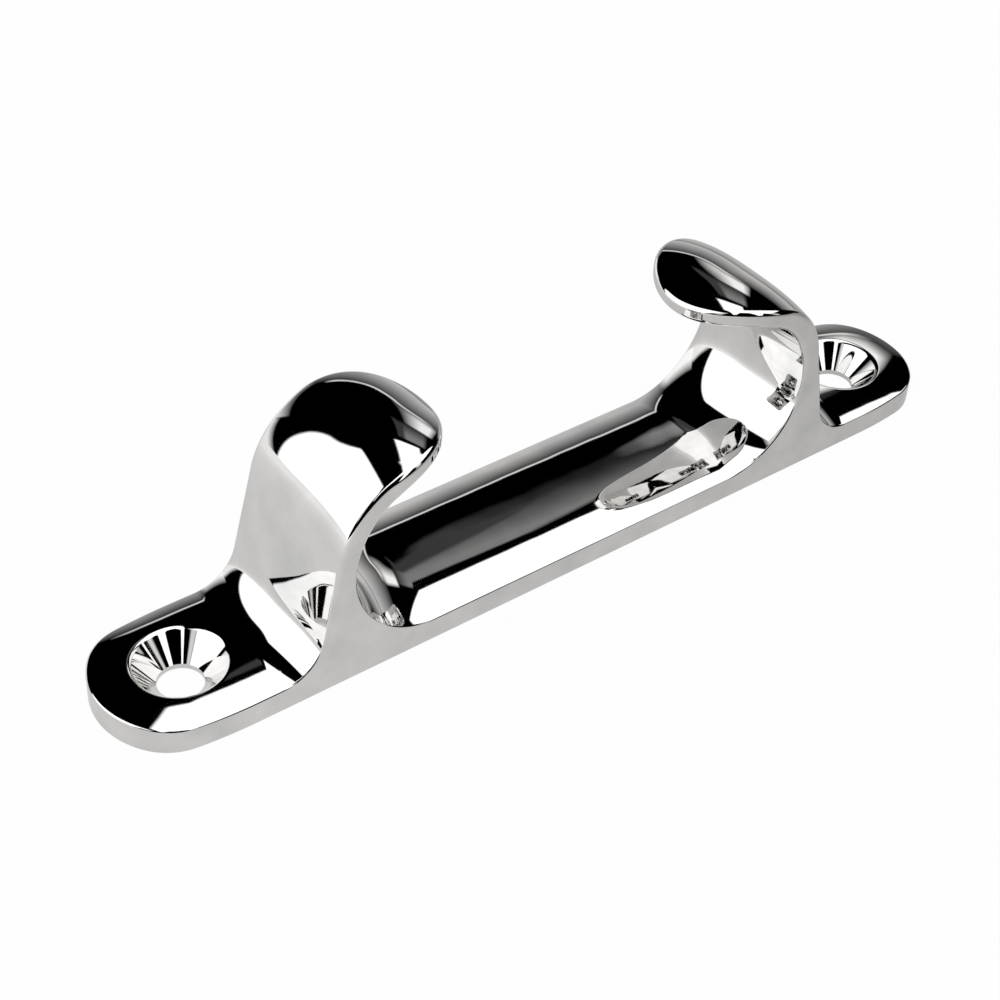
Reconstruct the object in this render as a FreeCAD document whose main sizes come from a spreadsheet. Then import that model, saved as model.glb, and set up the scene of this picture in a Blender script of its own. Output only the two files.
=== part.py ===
import FreeCAD, Part

import math
import os

import Sketcher

# Straight fairlead: one polished stainless casting for the edge of a deck. A line lies on the
# crowned bar between two horns that curl over it, and two countersunk screws hold the end pads
# down. Millimetres. +X runs along the fairlead, +Y to the back and +Z up, and the origin is the
# middle of the underside. The casting is the same left and right, and front and back.
#
# One horn with its half of the bar is lofted across the width through side elevations, so that
# every bearing surface is crowned. Plan outlines then trim its front, back and ends, and the
# half is mirrored.

DIMENSIONS = {
    # plan of the base: its end is a little narrower and flatter than a half circle
    "overall_length": 152.0,
    "base_width": 23.8,
    "end_taper_length": 18.0,
    "end_draw_in": 0.5,
    "end_flatness": 0.9,
    "end_corner_radius": 9.0,
    # base in elevation: height at the front and back edges, and how much its middle stands proud
    "edge_height": 3.6,
    "pad_crown": 1.3,
    "bar_crown": 2.4,
    "end_roll_length": 10.0,
    "end_roll_drop": 0.8,
    # outside of a horn: pad_length is from the end of the base to the foot of the flank
    "pad_length": 27.6,
    "flank_angle": 77.9,
    "flank_crown": 0.4,
    "foot_radius": 7.0,
    "horn_back_radius": 14.4,
    # throat, where the line runs, and the metal between it and the outside
    "throat_radius": 14.0,
    "throat_wall_crown": 1.2,
    "throat_top_crown": 0.3,
    "horn_wall": 3.5,
    "lobe_thickness": 2.2,
    "lobe_crown": 1.3,
    # lobe in plan: a disc a little wider than the base, which it meets in a flare
    "lobe_offset": 6.9,
    "lobe_overhang": 0.2,
    "lobe_flare_radius": 20.0,
    # screws
    "screw_end_distance": 12.75,
    "screw_hole_diameter": 6.8,
    "countersink_diameter": 13.9,
    "countersink_angle": 82.0,
    # eased edges, and how far the loft runs past the outlines that trim it
    "edge_bevel": 0.35,
    "overrun": 3.0,
}

# How fast a crown rolls off towards the edge
POWERS = {"roll_off": 2.8}
# Stations of the loft, as shares of the half width from the middle line to past the edge
STATION_SHARES = (0.0, 0.6, 0.9, 1.2)

# Sizes that follow from the driving ones
DERIVED = {
    "half_length": "=overall_length / 2",
    "half_width": "=base_width / 2",
    "taper_start": "=half_length - end_taper_length",
    "end_radius": "=half_width + end_flatness",
    "end_centre": "=half_length - end_radius",
    "end_corner_side": "=half_width - end_draw_in - end_corner_radius",
    "end_roll_start": "=half_length - end_roll_length",
    "end_roll_radius": "=end_roll_length ^ 2 / (2 * end_roll_drop)",
    "flank_foot": "=half_length - pad_length",
    "throat_centre": "=flank_foot - throat_radius / tan(flank_angle) - horn_wall - throat_radius",
    "split_height": "=edge_height + throat_radius",
    "horn_height": "=edge_height + 2 * throat_radius + lobe_thickness",
    "lobe_centre": "=throat_centre + lobe_offset",
    "lobe_radius": "=half_width + lobe_overhang",
    "lobe_flare_side": "=half_width + lobe_flare_radius",
    "loft_tip": "=lobe_centre - lobe_radius - overrun",
    "loft_end": "=half_length + overrun",
    "screw_place": "=half_length - screw_end_distance",
    "pad_height": "=edge_height + pad_crown",
}

# Sizes of one elevation: a crown has dropped there by its share of the half width to a power
STATION_SIZES = {
    "rise": "=1 - share_{0} ^ roll_off",
    "pad_top": "=edge_height + pad_crown * (1 - share_{0} ^ 2)",
    "bar_top": "=edge_height + bar_crown * rise_{0}",
    "throat_top": "=edge_height + 2 * throat_radius - throat_top_crown * rise_{0}",
    "throat_round": "=(throat_top_{0} - bar_top_{0}) / 2",
    "throat_wall": "=throat_centre + throat_radius - throat_wall_crown * rise_{0}",
    "throat_middle": "=throat_wall_{0} - throat_round_{0}",
    "flank_foot": "=flank_foot + flank_crown * rise_{0}",
    "back_middle": "=horn_height + lobe_crown * rise_{0} - horn_back_radius",
}
STATIONS = (-3, -2, -1, 0, 1, 2, 3)

# Points of a sketch element, and the sketch's own origin and axes
START, END, CENTRE = range(1, 4)
ORIGIN = (-1, 1)
X_AXIS, Y_AXIS = range(-1, -3, -1)
# A face whose normal rises less than this counts as upright
FLAT = 1e-4

doc = FreeCAD.newDocument("straight_fairlead")
sheet = doc.addObject("Spreadsheet::Sheet", "Dims")


def fill_sheet(cells):
    """Write each size below the last, its alias in column A and its value in column B."""
    for alias, content in cells.items():
        row = len(sheet.getUsedCells()) // 2 + 1
        sheet.set(f"A{row}", alias)
        sheet.set(f"B{row}", str(content))
        sheet.setAlias(f"B{row}", alias)


fill_sheet({**DIMENSIONS, **POWERS, **DERIVED})
for level, share in enumerate(STATION_SHARES):
    fill_sheet({f"share_{level}": share})
    fill_sheet({f"{name}_{level}": text.format(level) for name, text in STATION_SIZES.items()})
doc.recompute()

body = doc.addObject("PartDesign::Body", "Fairlead")
body.Label = "fairlead_body"
body.Placement = FreeCAD.Placement()


def value(alias):
    """A size as the sheet has it now."""
    return float(sheet.get(alias))


def plane(role):
    """One of the body's own origin planes."""
    return next(feature for feature in body.Origin.OriginFeatures if feature.Role == role)


def new_sketch(name, role, offset):
    """A sketch on an origin plane, moved along the plane's normal by an expression."""
    sketch = body.newObject("Sketcher::SketchObject", name)
    sketch.AttachmentSupport = [(plane(role), "")]
    sketch.MapMode = "FlatFace"
    sketch.setExpression("AttachmentOffset.Base.z", offset)
    return sketch


def vec(point):
    return FreeCAD.Vector(point[0], point[1], 0)


def line(start, end, smooth=False):
    """A straight piece of an outline; smooth says that it runs tangentially into the next one."""
    return Part.LineSegment(vec(start), vec(end)), False, smooth


def arc(centre, start, end, clockwise=False, smooth=False):
    """A round piece of an outline, between two points that lie on the circle."""
    radius = math.dist(centre, start)
    turns = [math.atan2(point[1] - centre[1], point[0] - centre[0]) for point in (start, end)]
    if clockwise:
        turns.reverse()
    circle = Part.Circle(vec(centre), FreeCAD.Vector(0, 0, 1), radius)
    return Part.ArcOfCircle(circle, *turns), clockwise, smooth


def draw(sketch, pieces):
    """Add the pieces in running order and join each to the next, the last to the first."""
    sketch.addGeometry([geometry for geometry, clockwise, smooth in pieces], False)
    for index, (geometry, clockwise, smooth) in enumerate(pieces):
        following = (index + 1) % len(pieces)
        leave = START if clockwise else END
        enter = END if pieces[following][1] else START
        joint = "Tangent" if smooth else "Coincident"
        sketch.addConstraint(Sketcher.Constraint(joint, index, leave, following, enter))


def bind(sketch, constraint, expression):
    """Add a dimension whose value is an expression on the sheet."""
    index = sketch.addConstraint(constraint)
    sketch.setExpression(f"Constraints[{index}]", expression)


def hold(sketch, axis, geometry, point, expression):
    """Dimension a point's distance from the origin along X or Y, on the side where it lies."""
    place = sketch.getPoint(geometry, point)
    distance = place.x if axis == "X" else place.y
    ends = (*ORIGIN, geometry, point) if distance >= 0 else (geometry, point, *ORIGIN)
    bind(sketch, Sketcher.Constraint(f"Distance{axis}", *ends, abs(distance)), expression)


def radius(sketch, geometry, expression):
    """Dimension the radius of an arc or circle."""
    size = sketch.Geometry[geometry].Radius
    bind(sketch, Sketcher.Constraint("Radius", geometry, size), expression)


def level_and_plumb(sketch, level, plumb):
    """Make lines horizontal and vertical."""
    for geometry in level:
        sketch.addConstraint(Sketcher.Constraint("Horizontal", geometry))
    for geometry in plumb:
        sketch.addConstraint(Sketcher.Constraint("Vertical", geometry))


def elevation(number, station):
    """Side outline of the half casting, at one station across its width.

    The flank leans in by flank_angle, and its foot is where its line meets edge_height. The
    throat is a C that the bar enters tangentially, and the back of the horn an arc that leaves
    the flank tangentially and curls over to the tip.
    """
    level = abs(station)
    slope = math.radians(value("flank_angle"))
    low = -value("overrun")
    end, tip = value("loft_end"), value("loft_tip")
    pad_top, bar_top = value(f"pad_top_{level}"), value(f"bar_top_{level}")
    foot_x, edge = value(f"flank_foot_{level}"), value("edge_height")

    roll_r = value("end_roll_radius")
    roll_start = (value("end_roll_start"), pad_top)
    roll_centre = (roll_start[0], pad_top - roll_r)
    roll_end = (end, roll_centre[1] + math.sqrt(roll_r ** 2 - (end - roll_start[0]) ** 2))

    foot_r = value("foot_radius")
    corner = foot_x - (pad_top - edge) / math.tan(slope)
    reach = foot_r * math.tan(slope / 2)
    foot_start = (corner + reach, pad_top)
    foot_centre = (corner + reach, pad_top + foot_r)
    foot_end = (corner - reach * math.cos(slope), pad_top + reach * math.sin(slope))

    back_r = value("horn_back_radius")
    back_z = value(f"back_middle_{level}")
    rise = back_z + back_r * math.cos(slope) - edge
    back_start = (foot_x - rise / math.tan(slope), edge + rise)
    back_centre = (back_start[0] - back_r * math.sin(slope), back_z)
    back_end = (tip, back_z + math.sqrt(back_r ** 2 - (tip - back_centre[0]) ** 2))

    throat_r = value(f"throat_round_{level}")
    throat_centre = (value(f"throat_middle_{level}"), bar_top + throat_r)
    throat_start = (tip, throat_centre[1] + math.sqrt(throat_r ** 2 - (tip - throat_centre[0]) ** 2))
    throat_end = (throat_centre[0], bar_top)

    offset = f"{station / max(level, 1)} * Dims.share_{level} * Dims.half_width"
    sketch = new_sketch(f"Elevation{number}", "XZ_Plane", offset)
    draw(sketch, [
        line((0, low), (end, low)),
        line((end, low), roll_end),
        arc(roll_centre, roll_end, roll_start, smooth=True),
        line(roll_start, foot_start, smooth=True),
        arc(foot_centre, foot_start, foot_end, clockwise=True, smooth=True),
        line(foot_end, back_start, smooth=True),
        arc(back_centre, back_start, back_end),
        line(back_end, throat_start),
        arc(throat_centre, throat_start, throat_end, clockwise=True, smooth=True),
        line(throat_end, (0, bar_top)),
        line((0, bar_top), (0, low)),
    ])
    floor, end_wall, roll, pad, foot, flank, back, tip_wall, throat, bar, middle = range(11)
    level_and_plumb(sketch, (floor, pad, bar), (end_wall, tip_wall, middle))
    sketch.addConstraint(Sketcher.Constraint("PointOnObject", floor, START, Y_AXIS))
    toe = sketch.addGeometry(Part.Point(vec((foot_x, edge))), True)
    sketch.addConstraint(Sketcher.Constraint("PointOnObject", toe, START, flank))

    hold(sketch, "Y", floor, START, "Dims.overrun")
    hold(sketch, "X", end_wall, START, "Dims.loft_end")
    hold(sketch, "X", roll, CENTRE, "Dims.end_roll_start")
    radius(sketch, roll, "Dims.end_roll_radius")
    hold(sketch, "Y", pad, START, f"Dims.pad_top_{level}")
    radius(sketch, foot, "Dims.foot_radius")
    hold(sketch, "X", toe, START, f"Dims.flank_foot_{level}")
    hold(sketch, "Y", toe, START, "Dims.edge_height")
    bind(sketch, Sketcher.Constraint("Angle", flank, math.pi - slope), "180 - Dims.flank_angle")
    radius(sketch, back, "Dims.horn_back_radius")
    hold(sketch, "Y", back, CENTRE, f"Dims.back_middle_{level}")
    hold(sketch, "X", tip_wall, START, "Dims.loft_tip")
    radius(sketch, throat, f"Dims.throat_round_{level}")
    hold(sketch, "X", throat, CENTRE, f"Dims.throat_middle_{level}")
    hold(sketch, "Y", bar, START, f"Dims.bar_top_{level}")
    return sketch


def trim(name, height, open_side, shut_side, inner, up=False):
    """Cut away the metal outside a plan outline, above or below one height.

    The outline runs from the front of a wide block to its back and leaves the block open on one
    side. A side is the expression of its X, or None for the middle plane. The sketch comes back
    with the numbers of the outline's own pieces.
    """
    open_x, shut_x = [value(side.split(".")[1]) if side else 0 for side in (open_side, shut_side)]
    far_y = value("base_width")
    front, back = inner[0][0].StartPoint.y, inner[-1][0].EndPoint.y
    corners = [(open_x, back), (open_x, far_y), (shut_x, far_y)]
    corners += [(shut_x, -far_y), (open_x, -far_y), (open_x, front)]
    block = [line(corner, following) for corner, following in zip(corners, corners[1:])]

    sketch = new_sketch(f"{name}Plan", "XY_Plane", height)
    draw(sketch, block + inner)
    level_and_plumb(sketch, (1, 3), (0, 2, 4))
    for geometry, side in ((0, open_side), (2, shut_side), (4, open_side)):
        if side:
            hold(sketch, "X", geometry, START, side)
        else:
            sketch.addConstraint(Sketcher.Constraint("PointOnObject", geometry, START, Y_AXIS))
    for geometry in (1, 3):
        hold(sketch, "Y", geometry, START, "Dims.base_width")
    cut = pocket(name, sketch, up)
    return sketch, cut, range(len(block), len(block) + len(inner))


def pocket(name, sketch, up=False):
    """Cut through everything below a plan sketch, or above it."""
    cut = body.newObject("PartDesign::Pocket", name)
    cut.Profile = sketch
    cut.Type = "ThroughAll"
    cut.Reversed = up
    return cut


def mirror_low(point):
    """The same point on the front side of the plan."""
    return point[0], -point[1]


def base_outline():
    """Plan of the base: parallel sides that draw in along the pad, and a rounded end.

    Each side leaves its straight part in a wide arc. The end is a flat arc about the middle line
    between two tighter corner arcs.
    """
    side, taper = value("half_width"), (value("taper_start"), value("half_width"))
    end_r, corner_r = value("end_radius"), value("end_corner_radius")
    end = (value("end_centre"), 0)
    corner_y = value("end_corner_side")
    corner_reach = math.sqrt((end_r - corner_r) ** 2 - corner_y ** 2)
    corner = (end[0] + corner_reach, corner_y)
    grow = end_r / (end_r - corner_r)
    meet = (end[0] + corner_reach * grow, corner_y * grow)
    run, rise = corner[0] - taper[0], side - corner_y
    sweep_r = (run ** 2 + rise ** 2 - corner_r ** 2) / (2 * (rise - corner_r))
    sweep = (taper[0], side - sweep_r)
    reach = sweep_r / (sweep_r - corner_r)
    touch = (sweep[0] + run * reach, sweep[1] + (corner_y - sweep[1]) * reach)

    sketch, cut, pieces = trim("BaseOutline", "Dims.split_height", None, "Dims.overall_length", [
        line((0, -side), mirror_low(taper), smooth=True),
        arc(mirror_low(sweep), mirror_low(taper), mirror_low(touch), smooth=True),
        arc(mirror_low(corner), mirror_low(touch), mirror_low(meet), smooth=True),
        arc(end, mirror_low(meet), meet, smooth=True),
        arc(corner, meet, touch, smooth=True),
        arc(sweep, touch, taper, smooth=True),
        line(taper, (0, side)),
    ])
    front, front_taper, front_corner, tip, back_corner, back_taper, back = pieces
    level_and_plumb(sketch, (front, back), ())
    for geometry, point in ((front, END), (back, START)):
        hold(sketch, "Y", geometry, point, "Dims.half_width")
        hold(sketch, "X", geometry, point, "Dims.taper_start")
    for corner_arc in (front_corner, back_corner):
        radius(sketch, corner_arc, "Dims.end_corner_radius")
        hold(sketch, "Y", corner_arc, CENTRE, "Dims.end_corner_side")
    sketch.addConstraint(Sketcher.Constraint("PointOnObject", tip, CENTRE, X_AXIS))
    hold(sketch, "X", tip, CENTRE, "Dims.end_centre")
    radius(sketch, tip, "Dims.end_radius")
    return cut


def lobe_outline():
    """Plan of the horn above the throat: straight sides that flare into the round lobe."""
    side, far = value("half_width"), value("half_length")
    centre = (value("lobe_centre"), 0)
    lobe_r, flare_r = value("lobe_radius"), value("lobe_flare_radius")
    flare_y = value("lobe_flare_side")
    flare_x = centre[0] + math.sqrt((flare_r + lobe_r) ** 2 - flare_y ** 2)
    flare = (flare_x, flare_y)
    share = lobe_r / (lobe_r + flare_r)
    meet = (centre[0] + (flare_x - centre[0]) * share, flare_y * share)

    sketch, cut, pieces = trim("LobeOutline", "Dims.split_height", "Dims.half_length", None, [
        line((far, -side), (flare_x, -side), smooth=True),
        arc(mirror_low(flare), (flare_x, -side), mirror_low(meet), smooth=True),
        arc(centre, mirror_low(meet), meet, clockwise=True, smooth=True),
        arc(flare, meet, (flare_x, side), smooth=True),
        line((flare_x, side), (far, side)),
    ], up=True)
    front, front_flare, lobe, back_flare, back = pieces
    level_and_plumb(sketch, (front, back), ())
    for geometry, point in ((front, START), (back, END)):
        hold(sketch, "Y", geometry, point, "Dims.half_width")
    for flare_arc in (front_flare, back_flare):
        radius(sketch, flare_arc, "Dims.lobe_flare_radius")
    sketch.addConstraint(Sketcher.Constraint("PointOnObject", lobe, CENTRE, X_AXIS))
    hold(sketch, "X", lobe, CENTRE, "Dims.lobe_centre")
    radius(sketch, lobe, "Dims.lobe_radius")
    return cut


def underside():
    """Grind the underside flat."""
    far_x, far_y = value("overall_length"), value("base_width")
    corners = [(0, -far_y), (far_x, -far_y), (far_x, far_y), (0, far_y), (0, -far_y)]
    sketch = new_sketch("UndersidePlan", "XY_Plane", "0 mm")
    draw(sketch, [line(corner, following) for corner, following in zip(corners, corners[1:])])
    level_and_plumb(sketch, (0, 2), (1, 3))
    sketch.addConstraint(Sketcher.Constraint("PointOnObject", 3, START, Y_AXIS))
    hold(sketch, "X", 1, START, "Dims.overall_length")
    for geometry in (0, 2):
        hold(sketch, "Y", geometry, START, "Dims.base_width")
    return pocket("Underside", sketch)


def screw_hole():
    """Countersunk hole through the pad, on the middle line."""
    sketch = new_sketch("ScrewPlan", "XY_Plane", "Dims.pad_height")
    place = (value("screw_place"), 0)
    hole_r = value("screw_hole_diameter") / 2
    sketch.addGeometry(Part.Circle(vec(place), FreeCAD.Vector(0, 0, 1), hole_r), False)
    sketch.addConstraint(Sketcher.Constraint("PointOnObject", 0, CENTRE, X_AXIS))
    hold(sketch, "X", 0, CENTRE, "Dims.screw_place")
    radius(sketch, 0, "Dims.screw_hole_diameter / 2")
    hole = body.newObject("PartDesign::Hole", "ScrewHole")
    hole.Profile = sketch
    doc.recompute()
    hole.DepthType = "ThroughAll"
    hole.HoleCutType = "Countersink"
    hole.HoleCutCustomValues = True
    hole.setExpression("Diameter", "Dims.screw_hole_diameter")
    hole.setExpression("HoleCutDiameter", "Dims.countersink_diameter")
    hole.setExpression("HoleCutCountersinkAngle", "Dims.countersink_angle")
    return hole


def is_upright(face):
    """Whether a face stands straight up, as the walls that follow a plan outline do."""
    u_low, u_high, v_low, v_high = face.ParameterRange
    spots = [(u_low + (u_high - u_low) * share, v_low + (v_high - v_low) * share)
             for share in (0.3, 0.7)]
    return all(abs(face.normalAt(*spot).z) < FLAT for spot in spots)


def rim_edges(shape):
    """Names of the edges where an upright wall meets a crowned surface above the underside."""
    names = []
    for number, edge in enumerate(shape.Edges, 1):
        faces = shape.ancestorsOfType(edge, Part.Face)
        upright = [is_upright(face) for face in faces]
        crowned = edge.BoundBox.ZMin > value("edge_height") / 2
        on_middle = edge.BoundBox.XMax < value("edge_height") / 2
        if sorted(upright) == [False, True] and crowned and not on_middle:
            names.append(f"Edge{number}")
    return names


sections = [elevation(number, station) for number, station in enumerate(STATIONS)]
doc.recompute()
casting = body.newObject("PartDesign::AdditiveLoft", "HalfCasting")
casting.Profile = sections[0]
casting.Sections = sections[1:]
doc.recompute()

features = [casting, base_outline(), lobe_outline(), underside(), screw_hole()]
doc.recompute()
for before, after in zip(features, features[1:]):
    if after.Shape.Volume >= before.Shape.Volume:
        raise ValueError(f"{after.Name} cuts nothing")

rim = body.newObject("PartDesign::Chamfer", "EasedRim")
rim.Base = (features[-1], rim_edges(features[-1].Shape))
rim.setExpression("Size", "Dims.edge_bevel")
doc.recompute()

whole = body.newObject("PartDesign::Mirrored", "BothHalves")
whole.TransformMode = "Whole shape"
whole.MirrorPlane = (plane("YZ_Plane"), [""])
body.Tip = whole
doc.recompute()

for thing in doc.Objects:
    if {"Invalid", "Error"} & set(thing.State):
        raise ValueError(f"{thing.Name} did not build: {thing.State}")
if body.Shape.isNull() or not body.Shape.isValid() or len(body.Shape.Solids) != 1:
    raise ValueError("the casting is not one valid solid")

os.makedirs("parts", exist_ok=True)
body.Shape.exportStep(f"parts/{body.Label}.step")
print(f"{body.Label}: {body.Shape.Volume / 1000:.2f} cubic centimetres, {len(body.Shape.Faces)} faces")
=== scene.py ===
# %% [markdown]
# A straight fairlead in polished stainless steel
#
# The real object is one casting. A mooring line lies on the crowned bar in its middle, and two
# horns curl inwards over the bar so that the line can't jump out. Everything has been polished to
# a mirror, so what the eye reads is not the metal's own colour but the room that it reflects. That
# decides how to build it here: a mirror shows every wobble of the surface, so the shape has to
# come from formulas with exact normals, and the room has to be lit like the studio of the photo.

import math

import bpy
import numpy as np
from mathutils import Matrix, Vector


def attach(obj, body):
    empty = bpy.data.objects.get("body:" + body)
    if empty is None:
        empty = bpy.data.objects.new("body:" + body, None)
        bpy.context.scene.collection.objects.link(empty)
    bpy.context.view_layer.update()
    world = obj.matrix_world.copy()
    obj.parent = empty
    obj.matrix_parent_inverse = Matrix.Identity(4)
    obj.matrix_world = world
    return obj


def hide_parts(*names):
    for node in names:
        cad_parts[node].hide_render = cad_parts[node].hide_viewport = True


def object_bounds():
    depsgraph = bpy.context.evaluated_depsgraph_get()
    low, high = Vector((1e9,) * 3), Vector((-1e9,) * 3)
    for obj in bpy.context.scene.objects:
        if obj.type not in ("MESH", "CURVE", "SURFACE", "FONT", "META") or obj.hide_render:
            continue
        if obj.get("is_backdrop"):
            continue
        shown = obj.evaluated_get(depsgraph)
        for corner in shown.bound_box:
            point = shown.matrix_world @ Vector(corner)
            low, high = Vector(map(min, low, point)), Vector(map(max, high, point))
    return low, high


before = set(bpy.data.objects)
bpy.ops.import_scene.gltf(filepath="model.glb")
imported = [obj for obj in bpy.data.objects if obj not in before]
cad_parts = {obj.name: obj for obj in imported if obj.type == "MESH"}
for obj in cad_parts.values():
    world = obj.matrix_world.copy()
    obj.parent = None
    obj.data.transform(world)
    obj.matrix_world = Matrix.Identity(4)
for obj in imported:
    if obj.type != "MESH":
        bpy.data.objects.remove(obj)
NODE = "fairlead_body"
MM = 0.001
lowest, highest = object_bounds()
spans = [round((end - start) / MM, 2) for start, end in zip(lowest, highest)]
print("nodes", sorted(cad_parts), "size in mm", spans)

# %% [markdown]
# The sizes of the casting, in millimetres, are the ones that the CAD part is built from, apart from
# three that the mirror in the photo shows better than its outline does: the radius of the rims,
# which the CAD part has as a small bevel, the softened edge of the countersinks, and how late the
# crown of a pad falls off towards its edge. Height is measured from the deck, and x runs from the
# middle of the bar out to the end of one pad. Only one half is worked out; the other is its mirror
# image.

# %% Sizes of the casting
HALF_LENGTH = 76.0
HALF_WIDTH = 11.9
DRAW_IN_START = 58.0
END_HALF_WIDTH, END_RADIUS, CORNER_RADIUS = 11.4, 12.8, 9.0
EDGE_HEIGHT, PAD_CROWN, BAR_CROWN = 3.6, 1.3, 2.4
ROLL_LENGTH, ROLL_DROP = 10.0, 0.8
FLANK_FOOT, FLANK_ANGLE, FLANK_CROWN = 48.4, math.radians(77.9), 0.4
FOOT_RADIUS, BACK_RADIUS = 7.0, 14.4
THROAT_RADIUS, WALL_CROWN, TOP_CROWN, HORN_WALL = 14.0, 1.2, 0.3, 3.5
LOBE_THICKNESS, LOBE_CROWN = 2.2, 1.3
LOBE_OFFSET, LOBE_OVERHANG, FLARE_RADIUS = 6.9, 0.2, 20.0
SCREW_X, HOLE_RADIUS, SINK_RADIUS, SINK_ANGLE = 63.25, 3.4, 6.95, math.radians(41.0)
BASE_RIM, LOBE_RIM, RIM_GROWS_FROM, RIM_GROWS_TO = 0.4, 1.0, 8.0, 24.0
SINK_RIM = 0.5
ROLL_OFF, PAD_ROLL_OFF = 2.8, 3.4
SLOPE_STEP, HALVINGS = 1e-5, 60

THROAT_X = FLANK_FOOT - THROAT_RADIUS / math.tan(FLANK_ANGLE) - HORN_WALL - THROAT_RADIUS
HORN_HEIGHT = EDGE_HEIGHT + 2 * THROAT_RADIUS + LOBE_THICKNESS
LOBE_X, LOBE_RADIUS = THROAT_X + LOBE_OFFSET, HALF_WIDTH + LOBE_OVERHANG
SPLIT_HEIGHT = EDGE_HEIGHT + THROAT_RADIUS
print("throat centre x", round(THROAT_X, 2), "lobe centre x", round(LOBE_X, 2))

# %% [markdown]
# Seen from the side, the outside of a horn is one run of tangent pieces: the pad, the hollow of
# the foot, the straight flank, and the round back that curls over to the tip. The inside is
# another run: the bar, then the C of the throat. Both runs are a little higher or further out in
# the middle of the width than at its edges. That is the crown, which lets a line roll instead of
# chafe. So each run is a function of two parameters: how far along the run, and y across it.

# %% The outside run: pad, foot, flank and back
# How far the grid round the hole reaches from the screw's axis, towards the horn and the end
GRID_BEFORE, GRID_AFTER = 8.4, 8.6
HOLE_START, HOLE_END = SCREW_X - GRID_BEFORE, SCREW_X + GRID_AFTER


def rise(y):
    """Share of a crown that is left at y: 1 minus the share of the half width to a power."""
    return 1 - (np.abs(y) / HALF_WIDTH) ** ROLL_OFF


def pad_crown(y):
    """Height of the pad at y, before its end rolls off."""
    return EDGE_HEIGHT + PAD_CROWN * (1 - (np.abs(y) / HALF_WIDTH) ** PAD_ROLL_OFF)


def pad_height(x, y):
    """Height of the pad: its crown across the width, minus an arc that rolls off the end."""
    top = pad_crown(y)
    roll = ROLL_LENGTH ** 2 / (2 * ROLL_DROP)
    past = np.maximum(x - (HALF_LENGTH - ROLL_LENGTH), 0)
    return top - roll + np.sqrt(roll ** 2 - past ** 2)


def horn_outside(u, y):
    """Point on the outside of the horn.

    u from -1 to 0 is the pad next to it, 0 to 1 goes round the arc of the foot, 1 to 2 up the
    flank line, and 2 onwards round the back arc, where u - 2 is the angle in radians. The flank
    line passes through its foot point at edge height, and both arcs are tangent to it.
    """
    slope = FLANK_ANGLE
    toe = FLANK_FOOT + FLANK_CROWN * rise(y)
    pad = pad_crown(y)
    corner = toe - (pad - EDGE_HEIGHT) / math.tan(slope)
    reach = FOOT_RADIUS * math.tan(slope / 2)
    turn = np.clip(u, 0, 1) * slope
    foot_x = corner + reach - FOOT_RADIUS * np.sin(turn)
    foot_x = foot_x - np.minimum(u, 0) * (HOLE_START - corner - reach)
    foot_z = pad + FOOT_RADIUS * (1 - np.cos(turn))
    flank_x, flank_z = corner - reach * math.cos(slope), pad + reach * math.sin(slope)
    back_z = HORN_HEIGHT + LOBE_CROWN * rise(y) - BACK_RADIUS
    top_z = back_z + BACK_RADIUS * math.cos(slope)
    top_x = toe - (top_z - EDGE_HEIGHT) / math.tan(slope)
    share = np.clip(u - 1, 0, 1)
    line_x, line_z = flank_x + (top_x - flank_x) * share, flank_z + (top_z - flank_z) * share
    bearing = math.pi / 2 - slope + np.maximum(u - 2, 0)
    back_x = top_x - BACK_RADIUS * math.sin(slope)
    arc_x, arc_z = back_x + BACK_RADIUS * np.cos(bearing), back_z + BACK_RADIUS * np.sin(bearing)
    x = np.where(u < 1, foot_x, np.where(u < 2, line_x, arc_x))
    z = np.where(u < 1, foot_z, np.where(u < 2, line_z, arc_z))
    return np.stack([x, y + 0 * x, z], -1)


def pad_surface(x, y):
    """Point on the pad at x and y."""
    return np.stack([x + 0 * y, y + 0 * x, pad_height(x, y)], -1)


print("horn is", round(HORN_HEIGHT + LOBE_CROWN, 2), "mm high")
print("pad is", round(float(pad_height(SCREW_X, 0)), 2), "mm high at the screw")

# %% The inside run: bar and throat
def throat_arc(y):
    """Centre x, centre height and radius of the throat's C at y."""
    bar = EDGE_HEIGHT + BAR_CROWN * rise(y)
    top = EDGE_HEIGHT + 2 * THROAT_RADIUS - TOP_CROWN * rise(y)
    radius = (top - bar) / 2
    wall = THROAT_X + THROAT_RADIUS - WALL_CROWN * rise(y)
    return wall - radius, bar + radius, radius


def inside(u, y):
    """Point on the bar and throat: u from -1 to 0 is the bar from the middle plane to the foot of
    the C, and a positive u is the angle round the C in radians."""
    centre_x, centre_z, radius = throat_arc(y)
    turn = np.maximum(u, 0)
    x = np.where(u < 0, centre_x * (1 + u), centre_x + radius * np.sin(turn))
    z = np.where(u < 0, centre_z - radius, centre_z - radius * np.cos(turn))
    return np.stack([x, y + 0 * x, z], -1)


def normals(surface, u, y, outward):
    """Unit normals of a surface from its slopes along u and y; outward is 1 or -1."""
    along = surface(u + SLOPE_STEP, y) - surface(u - SLOPE_STEP, y)
    across = surface(u, y + SLOPE_STEP) - surface(u, y - SLOPE_STEP)
    cross = outward * np.cross(along, across)
    return cross / np.linalg.norm(cross, axis=-1, keepdims=True)


print("bar is", round(float(inside(np.array(-1.0), np.array(0.0))[2]), 2), "mm high in the middle")

# %% [markdown]
# Seen from above, the base has nearly straight sides and rounded ends, and each horn ends in a
# round lobe that its sides flare into. A rolling ball rounds the edge between these upright walls
# and the crowned surfaces: its centre stays one rim radius inside the wall and one below the
# surface. So each plan outline is needed at any distance inwards.

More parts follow.
